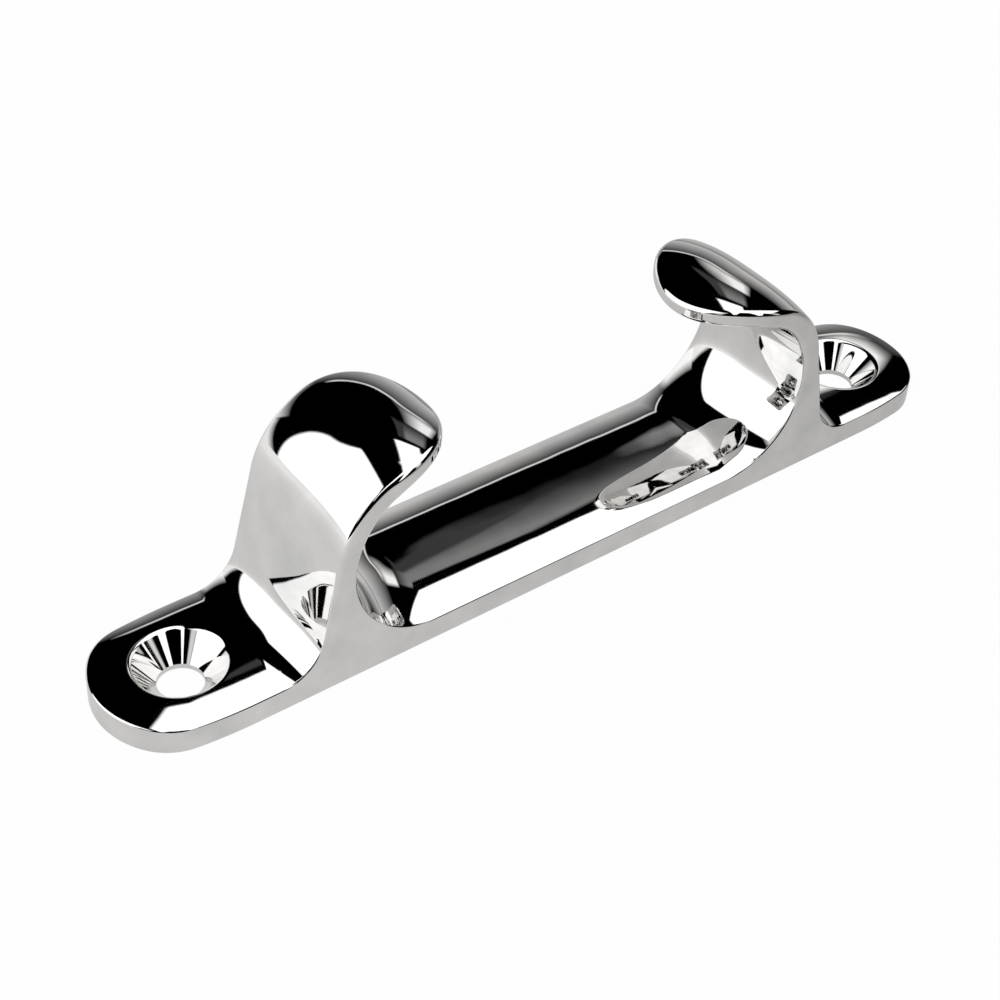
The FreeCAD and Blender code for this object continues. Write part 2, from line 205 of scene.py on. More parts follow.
# %% Plan outlines
def base_plan(point, inset):
    """Half width of the base, inset by a distance, and the wall's outward normal there.

    A straight side, a wide arc that draws in, a corner arc and an end arc, each tangent to the
    next. An inset makes every arc smaller by that much about the same centre.
    """
    x = point[..., 0]
    corner_y = END_HALF_WIDTH - CORNER_RADIUS
    end_x = HALF_LENGTH - END_RADIUS
    reach = math.sqrt((END_RADIUS - CORNER_RADIUS) ** 2 - corner_y ** 2)
    corner_x = end_x + reach
    run, climb = corner_x - DRAW_IN_START, HALF_WIDTH - corner_y
    wide = (run ** 2 + climb ** 2 - CORNER_RADIUS ** 2) / (2 * (climb - CORNER_RADIUS))
    wide_y = HALF_WIDTH - wide
    width, out_x = HALF_WIDTH - inset + 0 * x, 0 * x
    meet_x = end_x + (END_RADIUS - inset) * reach / (END_RADIUS - CORNER_RADIUS)
    touch_x = DRAW_IN_START + (wide - inset) * run / (wide - CORNER_RADIUS)
    for start, centre_x, centre_y, arc in ((DRAW_IN_START, DRAW_IN_START, wide_y, wide),
                                           (touch_x, corner_x, corner_y, CORNER_RADIUS),
                                           (meet_x, end_x, 0, END_RADIUS)):
        arc = arc - inset
        out = np.clip((x - centre_x) / arc, -1, 1)
        width = np.where(x > start, centre_y + arc * np.sqrt(1 - out ** 2), width)
        out_x = np.where(x > start, out, out_x)
    return width, out_x, np.sqrt(1 - out_x ** 2)


def lobe_plan(point, inset):
    """Half width of the horn, inset by a distance, and the wall's outward normal there.

    Above the middle of the throat the straight sides flare into the round lobe.
    """
    x = np.where(point[..., 2] > SPLIT_HEIGHT, point[..., 0], HALF_LENGTH)
    flare_y = HALF_WIDTH + FLARE_RADIUS
    flare_x = LOBE_X + math.sqrt((FLARE_RADIUS + LOBE_RADIUS) ** 2 - flare_y ** 2)
    lobe_r, flare_r = LOBE_RADIUS - inset, FLARE_RADIUS + inset
    meet_x = LOBE_X + (flare_x - LOBE_X) * lobe_r / (LOBE_RADIUS + FLARE_RADIUS)
    flare_w = flare_y - np.sqrt(np.maximum(flare_r ** 2 - (x - flare_x) ** 2, 0))
    lobe_w = np.sqrt(np.maximum(lobe_r ** 2 - (x - LOBE_X) ** 2, 0))
    straight = HALF_WIDTH - inset
    width = np.where(x > flare_x, straight, np.where(x > meet_x, flare_w, lobe_w))
    beyond_lobe = np.where(x > flare_x, 0.0, (flare_x - x) / flare_r)
    out_x = np.clip(np.where(x > meet_x, beyond_lobe, (x - LOBE_X) / lobe_r), -1, 1)
    return width, out_x, np.sqrt(1 - out_x ** 2)


def rim_radius(point):
    """Radius of the rolling ball at a point: small round the base, and growing up the horns."""
    share = np.clip((point[..., 2] - RIM_GROWS_FROM) / (RIM_GROWS_TO - RIM_GROWS_FROM), 0, 1)
    return BASE_RIM + (LOBE_RIM - BASE_RIM) * share ** 2 * (3 - 2 * share)


def rolling_ball(surface, plan, outward, u, y):
    """The ball that touches the surface at (u, y).

    Returns how far its centre is outside its track, the centre and the radius, and the normals of
    the surface and of the wall beside it.
    """
    point, normal = surface(u, y), normals(surface, u, y, outward)
    radius = rim_radius(point)
    centre = point - radius[..., None] * normal
    width, out_x, out_y = plan(centre, radius)
    wall = np.stack([out_x, out_y, 0 * out_x], -1)
    return centre[..., 1] - width, centre, radius[..., None], normal, wall


TIP_WIDTH, PAST_EDGE = 0.02, 0.3
screw_place = np.array([SCREW_X, 0, 0])
print("half width of the base at the screw", round(float(base_plan(screw_place, 0)[0]), 2), "mm")


def touch_width(surface, plan, outward, u):
    """For each u, the y where the ball leaves the surface, found by halving an interval.

    Where that is next to nothing the run has reached its tip, and both sides meet.
    """
    low, high = np.zeros_like(u), np.full_like(u, HALF_WIDTH + PAST_EDGE)
    for _ in range(HALVINGS):
        middle = (low + high) / 2
        beyond = rolling_ball(surface, plan, outward, u, middle)[0] > 0
        low, high = np.where(beyond, low, middle), np.where(beyond, middle, high)
    return np.where(low < TIP_WIDTH, 0.0, low)


# %% [markdown]
# Every patch is a grid of points with normals. They are collected in one list, joined where their
# points coincide, and given their own corner normals, so that each tangent join stays invisible
# in the mirror and each true edge stays crisp.

# %% Collecting grids into one mesh
patches = []


def add_grid(name, points, normal, flip=False, closed=False):
    """Keep a grid of points and normals, and its mirror image at the other end of the casting.

    flip turns its faces over, and closed joins the last column to the first.
    """
    rows, columns = points.shape[:2]
    index = np.arange(rows * columns).reshape(rows, columns)
    if closed:
        index = np.concatenate([index, index[:, :1]], 1)
    quads = np.stack([index[:-1, :-1], index[1:, :-1], index[1:, 1:], index[:-1, 1:]], -1).reshape(-1, 4)
    if flip:
        quads = quads[:, ::-1]
    points, normal = points.reshape(-1, 3), normal.reshape(-1, 3)
    other_end = np.array([-1, 1, 1])
    patches.append((points, normal, quads))
    patches.append((points * other_end, normal * other_end, quads[:, ::-1]))
    print(f"{name}: {rows} x {columns} points")


def add_front_and_back(name, points, normal, flip=False):
    """Keep a grid at the back of the casting, and its mirror image at the front."""
    front = np.array([1, -1, 1])
    add_grid(f"{name}, back", points, normal, flip)
    add_grid(f"{name}, front", points * front, normal * front, not flip)


def round_end(count):
    """Shares from 0 to 1 that close up towards 1, so that a round end is evenly divided."""
    return 1 - (1 - np.linspace(0, 1, count)) ** 2


ACROSS, RIM_STEPS = 61, 9
SHARES = np.linspace(-1, 1, ACROSS)


def add_skin(name, surface, plan, outward, u):
    """The crowned surface between the two lines where the rolling ball leaves it."""
    width = touch_width(surface, plan, outward, u)
    grid_u, grid_y = u[:, None] + 0 * SHARES, width[:, None] * SHARES
    add_grid(name, surface(grid_u, grid_y), normals(surface, grid_u, grid_y, outward), outward < 0)


def turn_between(first, last, angle, share):
    """Unit vectors at shares of the turn from the first one to the last, an angle apart."""
    return (np.sin((1 - share) * angle) * first + np.sin(share * angle) * last) / np.sin(angle)


def add_rim(name, surface, plan, outward, u):
    """The rounded rim: an arc of the ball from the surface's normal to the wall's, carried along.

    Returns the line where the rim meets the wall, and the wall's normals there.
    """
    width = touch_width(surface, plan, outward, u)
    centre, radius, normal, wall = rolling_ball(surface, plan, outward, u, width)[1:]
    angle = np.arccos(np.clip((normal * wall).sum(-1), -1, 1))[:, None, None]
    share = np.linspace(0, 1, RIM_STEPS)[None, :, None]
    turned = turn_between(normal[:, None], wall[:, None], angle, share)
    add_front_and_back(name, centre[:, None] + radius[:, None] * turned, turned, outward < 0)
    return centre + radius * wall, wall


print(ACROSS, "points across a skin,", RIM_STEPS, "round a rim")

# %% [markdown]
# A round end closes in a single point on the middle line. So first the script finds, for each
# run, where the rolling ball reaches the tip.

# %% Where each run ends
PAD_ROWS, END_ROWS, FOOT_ROWS, FLANK_ROWS, BACK_ROWS, BAR_ROWS = 25, 33, 25, 21, 81, 33
RINGS, SINK_ROWS, ROOT_POINTS, WALL_ROWS = 17, 25, 9, 5


def run_end(surface, plan, outward, low, high, x_end):
    """The u on the middle line at which the rolling ball's centre reaches x_end."""
    def past(u):
        return rolling_ball(surface, plan, outward, np.array(u), np.array(0.0))[1][0] - x_end
    side = np.sign(past(low))
    for _ in range(HALVINGS):
        middle = (low + high) / 2
        low, high = (middle, high) if np.sign(past(middle)) == side else (low, middle)
    return low


PAD_TIP, LOBE_TIP = HALF_LENGTH - BASE_RIM, LOBE_X - LOBE_RADIUS + LOBE_RIM
PAD_SEARCH, BACK_SEARCH, THROAT_SEARCH = (HALF_LENGTH - 4, HALF_LENGTH + 1), (2.6, 4.4), (2.0, 4.4)
pad_end = run_end(pad_surface, base_plan, 1, *PAD_SEARCH, PAD_TIP)
back_end = run_end(horn_outside, lobe_plan, -1, *BACK_SEARCH, LOBE_TIP)
throat_end = run_end(inside, lobe_plan, 1, *THROAT_SEARCH, LOBE_TIP)
print("pad ends at", round(pad_end, 3), "back at", round(back_end, 3), "throat at", round(throat_end, 3))

# %% Outside of the horn
STRIP_ROWS = 7
outside_u = np.concatenate([
    np.linspace(-1, 0, STRIP_ROWS)[:-1],
    np.linspace(0, 1, FOOT_ROWS)[:-1],
    np.linspace(1, 2, FLANK_ROWS)[:-1],
    2 + (back_end - 2) * round_end(BACK_ROWS),
])
add_skin("outside of the horn", horn_outside, lobe_plan, -1, outside_u)
outside_line, outside_wall = add_rim("outer rim of the horn", horn_outside, lobe_plan, -1, outside_u)
strip_line, strip_wall = outside_line[:STRIP_ROWS], outside_wall[:STRIP_ROWS]
horn_line, horn_wall = outside_line[STRIP_ROWS - 1:], outside_wall[STRIP_ROWS - 1:]

# %% [markdown]
# The inside of the horn gets as many rows as its outside, and in the lobe each pair of rows ends
# at the same place on the plan outline, so that the thin wall between the two rims is made of
# upright faces.

# %% Inside of the horn, and the bar
def bearing_on_lobe(line):
    """Angle of each point about the middle of the lobe, seen from above."""
    return np.arctan2(line[:, 1], line[:, 0] - LOBE_X)


def wall_line(surface, plan, outward, u):
    """The line on the wall where the rolling ball touches it."""
    width = touch_width(surface, plan, outward, u)
    centre, radius, _, wall = rolling_ball(surface, plan, outward, u, width)[1:]
    return centre + radius * wall


# Rows are matched from this x to the tip, with the help of many points along the throat's top
MATCH_X, TOP_START, TOP_POINTS = 37.5, 2.2, 800
over_lobe = horn_line[:, 0] < MATCH_X
top_u = np.linspace(TOP_START, throat_end, TOP_POINTS)
top_bearing = bearing_on_lobe(wall_line(inside, lobe_plan, 1, top_u))
lobe_u = np.interp(bearing_on_lobe(horn_line[over_lobe]), top_bearing, top_u)
steps = np.linalg.norm(np.diff(horn_line, axis=0), axis=1)
run = np.concatenate([[0], np.cumsum(steps)])
below = run[~over_lobe] / run[over_lobe][0]
throat_u = np.concatenate([lobe_u[0] * below, lobe_u])
bar_u = np.linspace(-1, 0, BAR_ROWS)
inside_u = np.concatenate([bar_u[:-1], throat_u])
add_skin("bar and throat", inside, lobe_plan, 1, inside_u)
inside_line, inside_wall = add_rim("inner rim", inside, lobe_plan, 1, inside_u)
bar_line, throat_line = inside_line[:BAR_ROWS], inside_line[BAR_ROWS - 1:]
throat_wall = inside_wall[BAR_ROWS - 1:]

# %% Side walls
across = np.linspace(0, 1, ROOT_POINTS)[None, :, None]
between = throat_line[:, None] * (1 - across) + horn_line[:, None] * across
lobe_wall = (horn_line - throat_line)[over_lobe, 2]
print("thinnest wall between the two rims", round(float(lobe_wall.min()), 2), "mm")
between_normal = throat_wall[:, None] * (1 - across) + horn_wall[:, None] * across
between_normal = between_normal / np.linalg.norm(between_normal, axis=-1, keepdims=True)
add_front_and_back("side of the horn", between, between_normal)

pad_x = np.linspace(HOLE_START, HOLE_END, PAD_ROWS)
end_x = HOLE_END + (pad_end - HOLE_END) * round_end(END_ROWS)
pad_line, pad_wall = add_rim("rim beside the hole", pad_surface, base_plan, 1, pad_x)
end_line, end_wall = add_rim("rim of the end", pad_surface, base_plan, 1, end_x)
add_skin("end of the pad", pad_surface, base_plan, 1, end_x)

root_line = between[0]
straight_wall = np.array([0.0, 1.0, 0.0])
top_line = np.concatenate([bar_line[:-1], root_line, strip_line[::-1][1:], pad_line[1:], end_line[1:]])
before_hole = BAR_ROWS + ROOT_POINTS + STRIP_ROWS - 2
top_wall = np.concatenate([np.tile(straight_wall, (before_hole, 1)), pad_wall[1:], end_wall[1:]])
up = np.linspace(0, 1, WALL_ROWS)[None, :, None] * np.array([0, 0, 1]) + np.array([1, 1, 0])
side_wall = np.repeat(top_wall[:, None], WALL_ROWS, 1)
add_front_and_back("side of the base", top_line[:, None] * up, side_wall, True)

# %% [markdown]
# The countersink is a cone of 82 degrees that takes the head of the screw. Its rim is where the
# cone meets the crowned pad, so it isn't quite a circle seen from the side. The rim is found along
# each direction from the screw's axis by halving.

# %% Pad round the hole, countersink and hole
def ring_frame(back_side):
    """The frame of points (x, y) round the hole, in order, from the points along its back side."""
    front_side = back_side * [1, -1]
    first = np.stack([0 * SHARES + back_side[0, 0], SHARES * back_side[0, 1]], -1)
    last = np.stack([0 * SHARES + back_side[-1, 0], SHARES * back_side[-1, 1]], -1)
    return np.concatenate([front_side[:-1], last[:-1], back_side[::-1][:-1], first[::-1][:-1]])


def cone_height(radius):
    """Height of the countersink's cone at a distance from the screw's axis."""
    return EDGE_HEIGHT + PAD_CROWN + (radius - SINK_RADIUS) / math.tan(SINK_ANGLE)


PAST_SINK = 1.0
outer = ring_frame(np.stack([pad_x, touch_width(pad_surface, base_plan, 1, pad_x)], -1))
bearing = np.arctan2(outer[:, 1], outer[:, 0] - SCREW_X)
ray = np.stack([np.cos(bearing), np.sin(bearing)], -1)
low, high = np.full(len(ray), HOLE_RADIUS), np.full(len(ray), SINK_RADIUS + PAST_SINK)
for _ in range(HALVINGS):
    middle = (low + high) / 2
    in_metal = pad_height(SCREW_X + middle * ray[:, 0], middle * ray[:, 1]) > cone_height(middle)
    low, high = np.where(in_metal, middle, low), np.where(in_metal, high, middle)
corner = np.stack([SCREW_X + low * ray[:, 0], low * ray[:, 1], cone_height(low)], -1)
sink_rim = np.stack([SCREW_X + (low + SINK_RIM) * ray[:, 0], (low + SINK_RIM) * ray[:, 1]], -1)
ring_share = np.linspace(0, 1, RINGS)[:, None, None]
ring = sink_rim * (1 - ring_share) + outer * ring_share
add_grid("pad round the hole", pad_surface(ring[..., 0], ring[..., 1]),
         normals(pad_surface, ring[..., 0], ring[..., 1], 1), closed=True)

cone_top = low - SINK_RIM * math.sin(SINK_ANGLE)
radii = cone_top + (HOLE_RADIUS - cone_top) * np.linspace(0, 1, SINK_ROWS)[:, None]
cone = np.stack([SCREW_X + radii * ray[:, 0], radii * ray[:, 1], cone_height(radii)], -1)
lean = [-math.cos(SINK_ANGLE), -math.cos(SINK_ANGLE), math.sin(SINK_ANGLE)]
upright_ray = np.concatenate([ray, np.ones((len(ray), 1))], 1)
cone_normal = upright_ray * lean
add_grid("countersink", cone, np.tile(cone_normal, (SINK_ROWS, 1, 1)), True, True)
pad_edge = pad_surface(sink_rim[:, 0], sink_rim[:, 1])
pad_normal = normals(pad_surface, sink_rim[:, 0], sink_rim[:, 1], 1)
share = np.linspace(0, 1, RIM_STEPS)[:, None, None]
soft = pad_edge * (1 - share) ** 2 + 2 * corner * share * (1 - share) + cone[0] * share ** 2
turn = np.arccos((pad_normal * cone_normal).sum(-1))[None, :, None]
soft_normal = turn_between(pad_normal, cone_normal, turn, share)
add_grid("rim of the countersink", soft, soft_normal, True, True)
bore = np.stack([cone[-1], cone[-1] * [1, 1, 0]])
add_grid("hole", bore, np.tile(upright_ray * [-1, -1, 0], (2, 1, 1)), True, True)

# %% Flat underside
DOWN = np.array([0.0, 0.0, -1.0])


def add_under(name, line):
    """Part of the underside, between a line on the back wall and its mirror image."""
    points = np.stack([line[:, :1] + 0 * SHARES, line[:, 1:2] * SHARES, 0 * line[:, :1] * SHARES], -1)
    add_grid(name, points, np.broadcast_to(DOWN, points.shape), True)


after_hole = before_hole + PAD_ROWS - 1
add_under("underside of the bar", top_line[:before_hole])
add_under("underside of the end", top_line[after_hole - 1:])
outer = ring_frame(top_line[before_hole - 1:after_hole, :2])
under = bore[1, :, :2] * (1 - ring_share) + outer * ring_share
under = np.concatenate([under, 0 * under[..., :1]], -1)
add_grid("underside round the hole", under, np.broadcast_to(DOWN, under.shape), True, True)

# %% [markdown]
# All grids are now joined. Points that coincide become one, so the shell is closed, and squares
# become triangles, so that a square that shrinks to a point at a round end can be dropped.

# %% The casting's mesh
WELD = 1e-4
points = np.concatenate([patch[0] for patch in patches])
normal = np.concatenate([patch[1] for patch in patches])
starts = np.cumsum([0] + [len(patch[0]) for patch in patches[:-1]])
quads = np.concatenate([patch[2] + start for patch, start in zip(patches, starts)])
_, first_seen, welded = np.unique(np.round(points / WELD).astype(np.int64), axis=0,
                                  return_index=True, return_inverse=True)
welded = welded.ravel()
corners = np.concatenate([quads[:, [0, 1, 2]], quads[:, [0, 2, 3]]])
faces = welded[corners]
whole = (faces[:, 0] != faces[:, 1]) & (faces[:, 1] != faces[:, 2]) & (faces[:, 2] != faces[:, 0])
corners, faces = corners[whole], faces[whole]

mesh = bpy.data.meshes.new("fairlead")
mesh.from_pydata((points[first_seen] * MM).tolist(), [], faces.tolist())
mesh.shade_smooth()
mesh.normals_split_custom_set(normal[corners].reshape(-1, 3).tolist())
casting = bpy.data.objects.new("fairlead", mesh)
bpy.context.collection.objects.link(casting)
edges = np.sort(np.concatenate([faces[:, [0, 1]], faces[:, [1, 2]], faces[:, [2, 0]]]), axis=1)
pairs = np.unique(edges, axis=0, return_counts=True)[1]
print(len(faces), "triangles,", (pairs != 2).sum(), "open edges")

# %% [markdown]
# The real fairlead was cast, ground and then polished on a cloth wheel. It is a mirror, though not
# a perfect one. The wheel leaves broad and very shallow waves, which make straight reflections
# wander, and a finer ripple. A trace of haze, and of warmer and cooler metal, drifts from place to
# place and shows as faint clouds where the metal mirrors the grey paper. The waves are hundreds of
# times shallower than the part is wide. So they aren't modelled in the mesh, but are soft noise
# that tilts the normals. They are measured in metres along the part, so they stay where they are
# on the metal.

# %% Polished stainless steel
def node(tree, kind, place, **settings):
    """A new node at a place in its tree, with properties set by name."""
    made = tree.nodes.new(kind)
    made.location = place
    for name, value in settings.items():
        setattr(made, name, value)
    return made


def math_node(tree, operation, place, first, second=None, clamp=False):
    """A Math node, whose inputs are numbers or other nodes' outputs. Returns its output."""
    made = node(tree, "ShaderNodeMath", place, operation=operation, use_clamp=clamp)
    for socket, value in zip(made.inputs, (first, second)):
        if value is None:
            continue
        if isinstance(value, (int, float)):
            socket.default_value = value
        else:
            tree.links.new(value, socket)
    return made.outputs[0]


def polish_group():
    """A node group for hand polishing: what the wheel leaves in the metal.

    Height is the sum of broad waves and of a finer ripple, both soft noise whose heights are given
    in metres. Haze is a third noise that moves the roughness a little, and Tint makes the steel a
    trace warmer or cooler from place to place.
    """
    group = bpy.data.node_groups.new("hand polish", "ShaderNodeTree")
    group.interface.new_socket("Position", in_out="INPUT", socket_type="NodeSocketVector")
    for name in ("Wave size", "Wave height", "Ripple size", "Ripple height",
                 "Haze size", "Least haze", "Most haze"):
        group.interface.new_socket(name, in_out="INPUT", socket_type="NodeSocketFloat")
    for name in ("Cool steel", "Warm steel"):
        group.interface.new_socket(name, in_out="INPUT", socket_type="NodeSocketColor")
    group.interface.new_socket("Height", in_out="OUTPUT", socket_type="NodeSocketFloat")
    group.interface.new_socket("Haze", in_out="OUTPUT", socket_type="NodeSocketFloat")
    group.interface.new_socket("Tint", in_out="OUTPUT", socket_type="NodeSocketColor")
    given = node(group, "NodeGroupInput", (-900, 0)).outputs
    made = node(group, "NodeGroupOutput", (500, 0)).inputs

    def noise(size, y, detail):
        scale = math_node(group, "DIVIDE", (-700, y), 1.0, given[size])
        texture = node(group, "ShaderNodeTexNoise", (-500, y))
        texture.inputs["Detail"].default_value = detail
        group.links.new(given["Position"], texture.inputs["Vector"])
        group.links.new(scale, texture.inputs["Scale"])
        return texture.outputs["Fac"]

    waves = noise("Wave size", 300, 1.0)
    waves = math_node(group, "MULTIPLY", (-200, 300), waves, given["Wave height"])
    ripple = noise("Ripple size", 100, 2.0)
    ripple = math_node(group, "MULTIPLY", (-200, 100), ripple, given["Ripple height"])
    group.links.new(math_node(group, "ADD", (0, 200), waves, ripple), made["Height"])
    cloud = noise("Haze size", -200, 3.0)
    span = math_node(group, "SUBTRACT", (-350, -350), given["Most haze"], given["Least haze"])
    haze = math_node(group, "MULTIPLY", (-200, -300), cloud, span)
    group.links.new(math_node(group, "ADD", (0, -300), haze, given["Least haze"]), made["Haze"])
    tint = node(group, "ShaderNodeMix", (0, -500), data_type="RGBA")
    group.links.new(cloud, tint.inputs["Factor"])
    group.links.new(given["Cool steel"], tint.inputs["A"])
    group.links.new(given["Warm steel"], tint.inputs["B"])
    group.links.new(tint.outputs["Result"], made["Tint"])
    return group


steel = bpy.data.materials.new("polished_stainless")
steel.use_nodes = True
tree = steel.node_tree
steel_shader = tree.nodes["Principled BSDF"]
steel_shader.inputs["Metallic"].default_value = 1.0
polish = node(tree, "ShaderNodeGroup", (-600, 0), node_tree=polish_group())
tree.links.new(node(tree, "ShaderNodeTexCoord", (-800, 0)).outputs["Object"], polish.inputs["Position"])
for socket, value in (("Wave size", 9 * MM), ("Wave height", 0.045 * MM), ("Ripple size", 2 * MM),
                      ("Ripple height", 0.0012 * MM), ("Haze size", 6 * MM), ("Least haze", 0.015),
                      ("Most haze", 0.045), ("Cool steel", (0.60, 0.62, 0.635, 1)),
                      ("Warm steel", (0.955, 0.925, 0.895, 1))):
    polish.inputs[socket].default_value = value
relief = node(tree, "ShaderNodeBump", (-300, -200))
relief.inputs["Distance"].default_value = 1.0
tree.links.new(polish.outputs["Height"], relief.inputs["Height"])
tree.links.new(relief.outputs["Normal"], steel_shader.inputs["Normal"])
tree.links.new(polish.outputs["Haze"], steel_shader.inputs["Roughness"])
tree.links.new(polish.outputs["Tint"], steel_shader.inputs["Base Color"])
mesh.materials.append(steel)

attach(casting, "root")
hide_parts(NODE)
print("steel", steel.name, "covers", len(mesh.materials), "slot of", NODE)

# %% [markdown]
# The photo was taken from the front left, from above, with a long lens rather close to the part.
# Where the camera stood, how it was turned and how long its lens was all come from a fit: the
# camera was moved until the outline of the base, both countersinks and both horns fell on the same
# places as in the photo.

# %% Camera
AZIMUTH, ELEVATION, ROLL = [math.radians(angle) for angle in (-39.88, 40.27, 4.19)]
DISTANCE, AIM, LENS = 0.31151, (-0.00202, 0.00722, 0.0), 71.81
back = np.array([math.sin(AZIMUTH) * math.cos(ELEVATION), -math.cos(AZIMUTH) * math.cos(ELEVATION),
                 math.sin(ELEVATION)])
right = np.array([math.cos(AZIMUTH), math.sin(AZIMUTH), 0.0])
above = np.cross(back, right)
camera_data = bpy.data.cameras.new("camera")
camera_data.lens = LENS
camera_data.clip_start = 0.01
camera = bpy.data.objects.new("camera", camera_data)
bpy.context.collection.objects.link(camera)
place = np.eye(4)
place[:3, 0] = right * math.cos(ROLL) + above * math.sin(ROLL)
place[:3, 1] = above * math.cos(ROLL) - right * math.sin(ROLL)
place[:3, 2] = back
place[:3, 3] = np.array(AIM) + DISTANCE * back
camera.matrix_world = Matrix(place.tolist())
print("camera stands at", [round(part / MM, 1) for part in place[:3, 3]], "mm")
bpy.context.scene.camera = camera

# %% [markdown]
# The photo's studio can be read from the mirror. A pixel of the photo, carried through the camera
# onto the metal and reflected there, gives the direction that its brightness comes from. Seen that
# way, the studio is dark with a few flat soft boxes. Each is a rectangle on a plane far away, so
# its straight edges bend in the crowned metal just as they do in the photo. A soft edge wide enough
# to cross the whole box makes a box that fades.

# %% The studio's soft boxes
LEAST_AHEAD = 0.001


def soft_box_group():
    """A node group for one flat soft box, seen in a direction.

    Right and up are the direction's slopes from where the box faces, so an edge is straight on the
    box's plane. Every edge is a ramp: the distance past it over its softness, plus a half, kept
    between 0 and 1. The box's light is the product of the four ramps and its brightness.
    """
    group = bpy.data.node_groups.new("soft box", "ShaderNodeTree")
    for name in ("Direction", "Facing", "Right axis", "Up axis"):
        group.interface.new_socket(name, in_out="INPUT", socket_type="NodeSocketVector")
    for name in BOX_SIZES:
        group.interface.new_socket(name, in_out="INPUT", socket_type="NodeSocketFloat")
    group.interface.new_socket("Light", in_out="OUTPUT", socket_type="NodeSocketFloat")
    given = node(group, "NodeGroupInput", (-900, 0)).outputs
    part = {}
    for row, axis in enumerate(("Facing", "Right axis", "Up axis")):
        product = node(group, "ShaderNodeVectorMath", (-700, 200 - 200 * row), operation="DOT_PRODUCT")
        group.links.new(given["Direction"], product.inputs[0])
        group.links.new(given[axis], product.inputs[1])
        part[axis] = product.outputs["Value"]
    in_front = math_node(group, "GREATER_THAN", (-500, 300), part["Facing"], LEAST_AHEAD)
    ahead = math_node(group, "MAXIMUM", (-500, 200), part["Facing"], LEAST_AHEAD)
    across = math_node(group, "DIVIDE", (-500, 0), part["Right axis"], ahead)
    upward = math_node(group, "DIVIDE", (-500, -200), part["Up axis"], ahead)
    light = math_node(group, "MULTIPLY", (-300, 300), in_front, given["Brightness"])
    for row, (slope, edge, side) in enumerate(((across, "Left", 1), (across, "Right", -1),
                                               (upward, "Bottom", 1), (upward, "Top", -1))):
        y = 100 - 200 * row
        past = math_node(group, "SUBTRACT", (-300, y), slope, given[edge])
        past = math_node(group, "MULTIPLY", (-150, y), past, side)
        ramp = math_node(group, "DIVIDE", (0, y), past, given[edge + " soft"])
        ramp = math_node(group, "ADD", (150, y), ramp, 0.5, clamp=True)
        light = math_node(group, "MULTIPLY", (300, y), light, ramp)
    group.links.new(light, node(group, "NodeGroupOutput", (500, 0)).inputs["Light"])
    return group


def box_axes(azimuth, elevation, roll):
    """Where a box faces, and its right and up axes. Azimuth runs from the back (+Y) to +X."""
    turn, lift, roll = math.radians(azimuth), math.radians(elevation), math.radians(roll)
    facing = np.array([math.sin(turn) * math.cos(lift), math.cos(turn) * math.cos(lift), math.sin(lift)])
    level = np.array([math.cos(turn), -math.sin(turn), 0.0])
    upright = np.cross(level, facing)
    rightward = level * math.cos(roll) + upright * math.sin(roll)
    upward = upright * math.cos(roll) - level * math.sin(roll)
    return facing, rightward, upward


BOX_SIZES = ("Left", "Right", "Bottom", "Top",
             "Left soft", "Right soft", "Bottom soft", "Top soft", "Brightness")
FAR = 3.0
# Each box: its azimuth, elevation and roll in degrees, then its sizes in the order above
SOFT_BOXES = {
    "key box, back left": ((-69, 30, 0), (-0.62, 0.57, -0.62, 0.62, 0.05, 0.03, 0.05, 0.04, 1.5)),
    "low light at the back": ((-7, 0, 0), (-0.27, 0.34, -FAR, 0.29, 0.03, 0.2, 0.05, 0.24, 1.2)),
    "its slanted left end": ((-25, 0, 41), (-FAR, 0.2, -FAR, 0.15, 0.05, 0.1, 0.05, 0.07, 1.0)),
    "low light at the back right": ((45, 0, 0), (-0.75, 0.75, -FAR, 0.22, 0.3, 0.2, 0.05, 0.5, 0.65)),
    "bright line over it": ((35, 0, 0), (-0.30, 0.35, 0.43, 0.47, 0.1, 0.1, 0.02, 0.02, 0.8)),
    "small box, right": ((52, 30, 0), (-0.065, 0.08, -0.08, 0.15, 0.12, 0.05, 0.10, 0.04, 1.1)),
    "dim card above it": ((48, 48, 0), (-0.09, 0.10, -0.06, 0.12, 0.04, 0.04, 0.22, 0.02, 0.24)),
    "dimmer card round it": ((48, 48, 0), (-0.15, 0.10, -0.13, 0.12, 0.015, 0.04, 0.04, 0.02, 0.05)),
    "box over the back": ((40, 75, 0), (-0.13, 0.13, -0.30, FAR, 0.03, 0.02, 0.02, 0.05, 1.5)),
    "box over the front": ((120, 60, 0), (-0.47, 0.42, -0.45, 0.60, 0.03, 0.05, 0.05, 0.05, 1.5)),
    "box overhead": ((90, 80, 0), (-0.28, FAR, -0.26, 0.15, 0.03, 0.05, 0.03, 0.05, 1.5)),
    "narrow strip, left": ((-114, 40, 0), (-0.10, 0.08, -0.4, 0.25, 0.06, 0.08, 0.1, 0.1, 0.8)),
    "narrow strip, front": ((142, 30, 0), (-0.09, 0.07, -0.4, 0.25, 0.06, 0.08, 0.1, 0.1, 0.8)),
}
world = bpy.data.worlds.new("studio")
bpy.context.scene.world = world
world.use_nodes = True
tree = world.node_tree
tree.nodes.clear()
direction = node(tree, "ShaderNodeTexCoord", (-1000, 0)).outputs["Generated"]
soft_box = soft_box_group()
light = None
